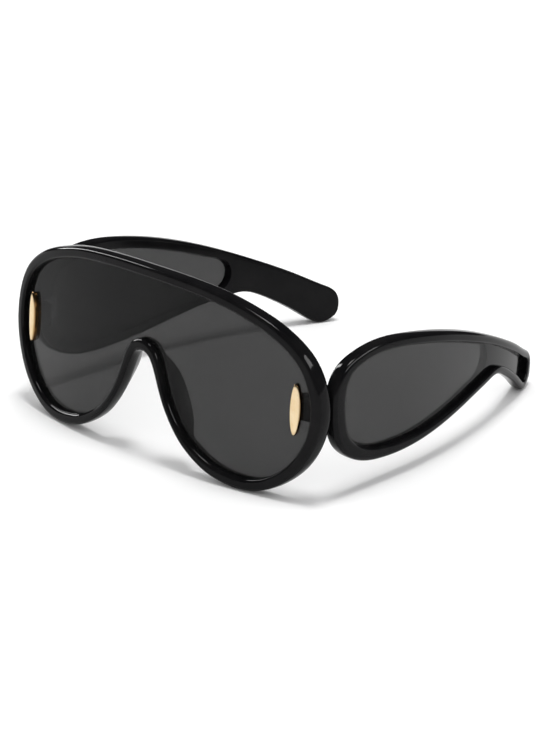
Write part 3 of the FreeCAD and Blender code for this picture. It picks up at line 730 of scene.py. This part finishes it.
def makeTemple(side, place):
    numbers = np.concatenate([stretch[:-1] for stretch in
                              (bladeNumbers, lowNumbers, capNumbers, highNumbers)])
    rim = sweepBetween("templeRim", closedSpline(templeLoop), recessAt, numbers, templeSection(),
                       templeBends)
    window = sweep("templeWindow", windowPath, windowInward, np.zeros(len(windowPath)),
                   windowSection(), templeBends)
    plates = [runNodes(tipPlate(depth), bentSheet, templeBends)
              for depth in (temple["recess"], temple["thickness"])]
    finishPiece(side + "TempleShell", joined([rim, window] + plates), place, side + "_temple",
                "frame_black", side + "_temple_frame")


def makeSideLens(side, place):
    loop = windowPath + windowInward * temple["lensGap"]
    blank = columnSheet("sideGlass", loop, temple["lensColumns"], temple["lensRows"],
                        temple["lensFront"], temple["lensBack"])
    bm = joined([runNodes(blank, bentSheet, templeBends)])
    finishPiece(side + "SideGlass", bm, place, side + "_temple", "smoke_lens", side + "_side_lens")


for side, place in bothSides:
    makeTemple(side, place @ templePlain)
    makeSideLens(side, place @ templePlain)
print("temples made")


# Screws with slotted heads
hinge = {"pivot": (68.4, 18.335, 32.7), "seed": 4, "sides": 32, "chamfer": 0.08, "weld": 0.0001,
         "leafScrew": {"head": 1.0, "headHeight": 0.5, "shank": 0.55, "length": 3.0,
                       "slot": 0.32, "slotDepth": 0.24},
         "pinScrew": {"head": 1.2, "headHeight": 0.6, "shank": 0.7, "length": 8.4,
                      "slot": 0.36, "slotDepth": 0.3},
         # where the heads' tops are, from the pivot
         "frontSpots": [(-3.6, -0.6, 2.3), (-3.6, -0.6, -2.3)],
         "templeSpots": [(0.6, 3.9, 2.3), (0.6, 3.9, -2.3)], "pinSpot": [(0, 0, 4.5)]}


def slottedScrew(name, sizes):
    # turned round +Z with the head's top at zero, then slotted
    head, headHeight, shank = sizes["head"], sizes["headHeight"], sizes["shank"]
    outline = [(head - hinge["chamfer"], 0), (head, -hinge["chamfer"]), (head, -headHeight),
               (shank, -headHeight), (shank, -sizes["length"])]
    bm = bmesh.new()
    closeRings(bm, [[bm.verts.new((radius * math.cos(turn), radius * math.sin(turn), level))
                     for turn in turnsOf(hinge["sides"])] for radius, level in outline])
    bmesh.ops.recalc_face_normals(bm, faces=bm.faces)
    screw = linkObject(bpy.data.objects.new(name, meshFrom(name, bm)))
    cutter = bmesh.new()
    cutSize = Matrix.Diagonal((4 * head, sizes["slot"], 2 * sizes["slotDepth"], 1))
    bmesh.ops.create_cube(cutter, size=1, matrix=cutSize)
    cutObject = linkObject(bpy.data.objects.new(name + "Slot", meshFrom(name + "Slot", cutter)))
    slot = screw.modifiers.new("slot", "BOOLEAN")
    slot.operation, slot.object, slot.solver = "DIFFERENCE", cutObject, "EXACT"
    slotted = shapedMesh(screw)
    screw.modifiers.remove(slot)
    screw.data = slotted
    bpy.data.objects.remove(cutObject)
    return screw


def makeScrews(name, screw, spots, facing, seed, place, body, replaced):
    points = newMesh(name, [tuple(Vector(hinge["pivot"]) + Vector(spot)) for spot in spots])
    addAttribute(points, "facing", "FLOAT_VECTOR", [facing] * len(spots))
    bm = joined([runNodes(points, screwRow, {"Screw": screw, "Seed": seed})], hinge["weld"])
    finishPiece(name, bm, place, body, "screw_steel", replaced)


leafScrew = slottedScrew("leafScrew", hinge["leafScrew"])
pinScrew = slottedScrew("pinScrew", hinge["pinScrew"])
for number, (side, place) in enumerate(bothSides):
    seed = hinge["seed"] + number
    makeScrews(side + "FrontLeafScrews", leafScrew, hinge["frontSpots"], (0, 1, 0), seed, place,
               "front", side + "_front_leaf_screws")
    makeScrews(side + "TempleLeafScrews", leafScrew, hinge["templeSpots"], (-1, 0, 0), seed, place,
               side + "_temple", side + "_temple_leaf_screws")
    makeScrews(side + "HingeScrew", pinScrew, hinge["pinSpot"], (0, 0, 1), seed, place,
               "front", side + "_hinge_screw")
for helper in (leafScrew, pinScrew):
    bpy.data.objects.remove(helper)
print("hinge screws made")

# Camera, floor and light
view = {"azimuth": 44.27, "elevation": 20.84, "place": (0.77419, -0.80154, 0.43733),
        "lens": 163.2, "sensor": 36}
cameraData = bpy.data.cameras.new("photoCamera")
cameraData.lens, cameraData.sensor_width = view["lens"], view["sensor"]
camera = linkObject(bpy.data.objects.new("photoCamera", cameraData))
camera.location = view["place"]
camera.rotation_euler = (math.radians(90 - view["elevation"]), 0, math.radians(view["azimuth"]))
scene.camera = camera

studio = {"floorHalf": 8.0, "floorColour": (0.95, 0.95, 0.95), "floorMirrored": (0.8, 0.8, 0.8),
          "floorRoughness": 0.9, "floorSpecular": 0.1,
          "background": (1.0, 1.0, 1.0), "fill": (0.7, 0.7, 0.7),
          # tones of the mirrored room, and the heights between which one turns into the other
          "horizon": (1.8, 1.8, 1.8), "sky": (0.03, 0.03, 0.032),
          "bandEnd": -0.02, "skyStart": 0.06}

half = studio["floorHalf"]
floorCorners = [(-half, -half, 0), (half, -half, 0), (half, half, 0), (-half, half, 0)]
floorMesh = newMesh("studioFloor", floorCorners, faces=[(0, 1, 2, 3)])
floor = linkObject(bpy.data.objects.new("studioFloor", floorMesh))
floorFinish = bpy.data.materials.new("paleFloor")
floorFinish.use_nodes = True
floorTree = floorFinish.node_tree
floorShader = floorTree.nodes["Principled BSDF"]
rays = put(floorTree, "ShaderNodeLightPath")
floorTone = pickTone(floorTree, rays.outputs["Is Glossy Ray"], studio["floorColour"],
                     studio["floorMirrored"])
floorTree.links.new(floorTone, floorShader.inputs["Base Color"])
floorShader.inputs["Roughness"].default_value = studio["floorRoughness"]
floorShader.inputs["Specular IOR Level"].default_value = studio["floorSpecular"]
floorMesh.materials.append(floorFinish)

# the world fills the shadows, is white where the camera sees it, and mirrors as a dark room with
# a white horizon
world = bpy.data.worlds.new("studioWorld")
world.use_nodes = True
sky = world.node_tree
direction = put(sky, "ShaderNodeTexCoord").outputs["Generated"]
height = put(sky, "ShaderNodeSeparateXYZ", {0: direction}).outputs[2]
rise = put(sky, "ShaderNodeMapRange", {"Value": height, "From Min": studio["bandEnd"],
                                       "From Max": studio["skyStart"]},
           interpolation_type="SMOOTHSTEP")
room = pickTone(sky, rise.outputs["Result"], studio["horizon"], studio["sky"])
rays = put(sky, "ShaderNodeLightPath")
around = pickTone(sky, rays.outputs["Is Glossy Ray"], studio["fill"], room)
around = pickTone(sky, rays.outputs["Is Camera Ray"], around, studio["background"])
sky.links.new(around, sky.nodes["Background"].inputs["Color"])
scene.world = world

# a lamp that doesn't light the floor shows only in reflections
lamps = [{"name": "overheadSoftbox", "place": (0.1, 0.1, 3.0), "size": (0.8, 0.8), "watts": 52,
          "lightsFloor": True},
         {"name": "leftStrip", "place": (-2.1, -0.2, 1.25), "size": (0.4, 1.6), "watts": 50,
          "lightsFloor": False},
         {"name": "rightPanel", "place": (1.8, 0.6, 1.6), "size": (2.0, 0.7), "watts": 52,
          "lightsFloor": False}]
for lamp in lamps:
    data = bpy.data.lights.new(lamp["name"], "AREA")
    data.shape, data.energy = "RECTANGLE", lamp["watts"]
    data.size, data.size_y = lamp["size"]
    holder = linkObject(bpy.data.objects.new(lamp["name"], data))
    holder.location = lamp["place"]
    holder.rotation_euler = (-Vector(lamp["place"])).to_track_quat("-Z", "Y").to_euler()
    holder.visible_diffuse = lamp["lightsFloor"]
print("studio ready")
